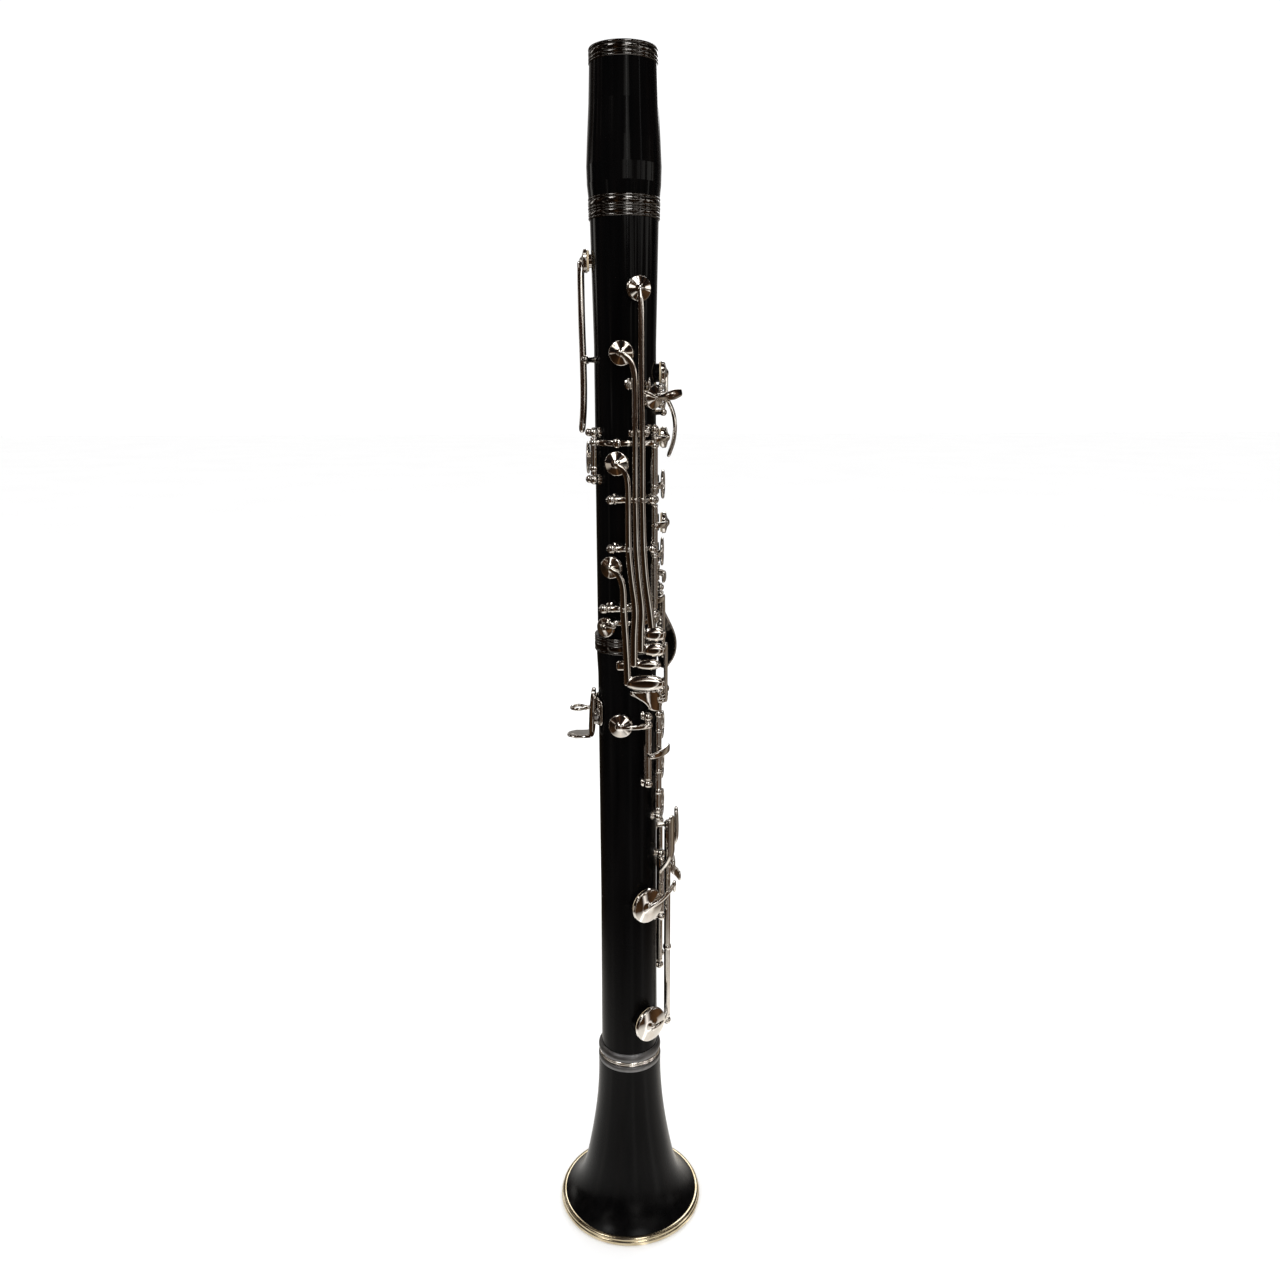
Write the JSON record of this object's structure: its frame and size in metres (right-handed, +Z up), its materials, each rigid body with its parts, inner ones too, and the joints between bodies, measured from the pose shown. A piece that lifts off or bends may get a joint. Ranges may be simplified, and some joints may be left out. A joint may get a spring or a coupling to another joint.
{
  "type": "clarinet",
  "caption": "Clarinet without mouthpiece, standing on its bell: barrel, two tube joints, flared bell, tone holes, sprung keys, rings, thumb rest and strap ring.",
  "frame": {"origin": "centre of the bell rim, on the plane the instrument stands on", "axes": "+Z up along the bore, +X to the front (finger holes), -Y to the player's right side (side keys)"},
  "size_m": [0.079, 0.079, 0.594],
  "materials": {
    "black_gloss": "polished black",
    "black_satin": "satin black",
    "nickel": "polished nickel plate",
    "pale_gold": "pale gold plate",
    "steel": "ground steel",
    "cork": "cork",
    "pad_skin": "smooth pad skin"
  },
  "bodies": {
    "body": {"barrel": "black_gloss", "barrel_rings": "nickel", "bell": "black_satin", "bell_rim_ring": "pale_gold", "bell_socket_ring": "nickel", "hinge_rods": "steel", "key_guides": "nickel", "lower_joint": "black_satin", "lower_posts": "nickel", "middle_socket_ring": "nickel", "register_tube": "nickel", "strap_ring": "nickel", "tenon_corks": "cork", "thumb_rest": "nickel", "thumb_rest_screws": "steel", "thumb_tube": "nickel", "upper_joint": "black_gloss", "upper_joint_ring": "nickel", "upper_posts": "nickel"},
    "a_flat_key": {"a_flat_key": "nickel", "a_flat_pad": "pad_skin"},
    "a_key": {"a_key": "nickel", "a_pad": "pad_skin"},
    "b_sliver_key": {"b_sliver_key": "nickel", "b_sliver_pad": "pad_skin"},
    "bridge_ring_key": {"bridge_ring_key": "nickel", "bridge_ring_pad": "pad_skin"},
    "c_sharp_key": {"c_sharp_key": "nickel", "c_sharp_pad": "pad_skin"},
    "e_flat_key": {"e_flat_key": "nickel", "e_flat_pad": "pad_skin"},
    "f_sharp_key": {"f_sharp_key": "nickel", "f_sharp_pad": "pad_skin"},
    "g_sharp_key": {"g_sharp_key": "nickel", "g_sharp_pad": "pad_skin"},
    "left_lever_e": {"left_lever_e": "nickel"},
    "left_lever_f_sharp": {"left_lever_f_sharp": "nickel"},
    "low_e_key": {"low_e_key": "nickel", "low_e_pad": "pad_skin"},
    "low_f_key": {"low_f_key": "nickel", "low_f_pad": "pad_skin"},
    "lower_ring_key": {"lower_ring_key": "nickel", "lower_ring_pad": "pad_skin"},
    "register_key": {"register_key": "nickel", "register_pad": "pad_skin"},
    "side_key_1": {"side_key_1": "nickel", "side_1_pad": "pad_skin"},
    "side_key_2": {"side_key_2": "nickel", "side_2_pad": "pad_skin"},
    "side_key_3": {"side_key_3": "nickel", "side_3_pad": "pad_skin"},
    "side_key_4": {"side_key_4": "nickel", "side_4_pad": "pad_skin"},
    "thumb_ring_key": {"thumb_ring_key": "nickel"},
    "upper_ring_key": {"upper_ring_key": "nickel", "upper_ring_pad": "pad_skin"}
  },
  "joints": [
    {"name": "thumb_ring_key_turn", "type": "hinge", "parent": "body", "child": "thumb_ring_key", "pos_m": [-0.01468, -0.00953, 0.42], "axis": [0, 0, -1], "range_deg": [0, 3], "stiffness_Nm_per_rad": 0.03, "springref_deg": -20.05},
    {"name": "upper_ring_key_turn", "type": "hinge", "parent": "body", "child": "upper_ring_key", "pos_m": [0.01343, -0.01168, 0.415], "axis": [0, 0, 1], "range_deg": [0, 5.25], "stiffness_Nm_per_rad": 0.03, "springref_deg": -20.05},
    {"name": "bridge_ring_key_turn", "type": "hinge", "parent": "body", "child": "bridge_ring_key", "pos_m": [0.01343, -0.01168, 0.372], "axis": [0, 0, 1], "range_deg": [0, 3.6], "stiffness_Nm_per_rad": 0.03, "springref_deg": -20.05},
    {"name": "g_sharp_key_turn", "type": "hinge", "parent": "body", "child": "g_sharp_key", "pos_m": [0.01655, -0.00538, 0.447], "axis": [0, 0, 1], "range_deg": [0, 5], "stiffness_Nm_per_rad": 0.03, "springref_deg": -20.05},
    {"name": "c_sharp_key_turn", "type": "hinge", "parent": "body", "child": "c_sharp_key", "pos_m": [0.01664, 0.00541, 0.345], "axis": [0, 0, 1], "range_deg": [0, 3.1], "stiffness_Nm_per_rad": 0.03, "springref_deg": -20.05},
    {"name": "e_flat_key_turn", "type": "hinge", "parent": "body", "child": "e_flat_key", "pos_m": [0.01476, 0.00995, 0.361], "axis": [0, 0, -1], "range_deg": [0, 5], "stiffness_Nm_per_rad": 0.03, "springref_deg": -20.05},
    {"name": "lower_ring_key_turn", "type": "hinge", "parent": "body", "child": "lower_ring_key", "pos_m": [0.01551, -0.00914, 0.27], "axis": [0, 0, 1], "range_deg": [0, 6], "stiffness_Nm_per_rad": 0.03, "springref_deg": -20.05},
    {"name": "b_sliver_key_turn", "type": "hinge", "parent": "body", "child": "b_sliver_key", "pos_m": [0.01032, -0.01474, 0.275], "axis": [0, 0, 1], "range_deg": [0, 4], "stiffness_Nm_per_rad": 0.03, "springref_deg": -20.05},
    {"name": "low_f_key_turn", "type": "hinge", "parent": "body", "child": "low_f_key", "pos_m": [0.01693, -0.0055, 0.197], "axis": [0, 0, -1], "range_deg": [0, 6], "stiffness_Nm_per_rad": 0.03, "springref_deg": -20.05},
    {"name": "low_e_key_turn", "type": "hinge", "parent": "body", "child": "low_e_key", "pos_m": [0.02057, 0.00108, 0.17], "axis": [0, 0, -1], "range_deg": [0, 5], "stiffness_Nm_per_rad": 0.03, "springref_deg": -20.05},
    {"name": "a_flat_key_turn", "type": "hinge", "parent": "body", "child": "a_flat_key", "pos_m": [0.0165, 0.00667, 0.19], "axis": [0, 0, -1], "range_deg": [0, 4], "stiffness_Nm_per_rad": 0.03, "springref_deg": -20.05},
    {"name": "f_sharp_key_turn", "type": "hinge", "parent": "body", "child": "f_sharp_key", "pos_m": [-0.00309, 0.01753, 0.192], "axis": [0, 0, -1], "range_deg": [0, 6], "stiffness_Nm_per_rad": 0.03, "springref_deg": -20.05},
    {"name": "register_key_turn", "type": "hinge", "parent": "body", "child": "register_key", "pos_m": [-0.0184, 0, 0.4634], "axis": [0, -1, 0], "range_deg": [0, 3.5], "stiffness_Nm_per_rad": 0.03, "springref_deg": -20.05},
    {"name": "a_key_turn", "type": "hinge", "parent": "body", "child": "a_key", "pos_m": [0.0178, 0, 0.4395], "axis": [0, 1, 0], "range_deg": [0, 4], "stiffness_Nm_per_rad": 0.03, "springref_deg": -20.05},
    {"name": "left_lever_e_turn", "type": "hinge", "parent": "body", "child": "left_lever_e", "pos_m": [0.00724, 0.01626, 0.262], "axis": [0.9135, -0.4067, 0], "range_deg": [0, 3], "stiffness_Nm_per_rad": 0.03, "springref_deg": -20.05},
    {"name": "left_lever_f_sharp_turn", "type": "hinge", "parent": "body", "child": "left_lever_f_sharp", "pos_m": [-0.00724, 0.01626, 0.262], "axis": [0.9135, 0.4067, 0], "range_deg": [0, 3], "stiffness_Nm_per_rad": 0.03, "springref_deg": -20.05},
    {"name": "side_key_1_turn", "type": "hinge", "parent": "body", "child": "side_key_1", "pos_m": [-0.0013, -0.0169, 0.348], "axis": [1, 0, 0], "range_deg": [0, 3], "stiffness_Nm_per_rad": 0.03, "springref_deg": -20.05},
    {"name": "side_key_2_turn", "type": "hinge", "parent": "body", "child": "side_key_2", "pos_m": [0.0012, -0.0169, 0.377], "axis": [1, 0, 0], "range_deg": [0, 2.2], "stiffness_Nm_per_rad": 0.03, "springref_deg": -20.05},
    {"name": "side_key_3_turn", "type": "hinge", "parent": "body", "child": "side_key_3", "pos_m": [0.0046, -0.0169, 0.4], "axis": [1, 0, 0], "range_deg": [0, 2.1], "stiffness_Nm_per_rad": 0.03, "springref_deg": -20.05},
    {"name": "side_key_4_turn", "type": "hinge", "parent": "body", "child": "side_key_4", "pos_m": [0.0079, -0.0169, 0.4], "axis": [1, 0, 0], "range_deg": [0, 2.2], "stiffness_Nm_per_rad": 0.03, "springref_deg": -20.05}
  ],
  "couplings": [
    {"joint": "upper_ring_key_turn", "follows": "thumb_ring_key_turn", "ratio": 1.75},
    {"joint": "bridge_ring_key_turn", "follows": "lower_ring_key_turn", "ratio": 0.6},
    {"joint": "left_lever_e_turn", "follows": "low_e_key_turn", "ratio": 0.6},
    {"joint": "left_lever_f_sharp_turn", "follows": "f_sharp_key_turn", "ratio": 0.5}
  ]
}
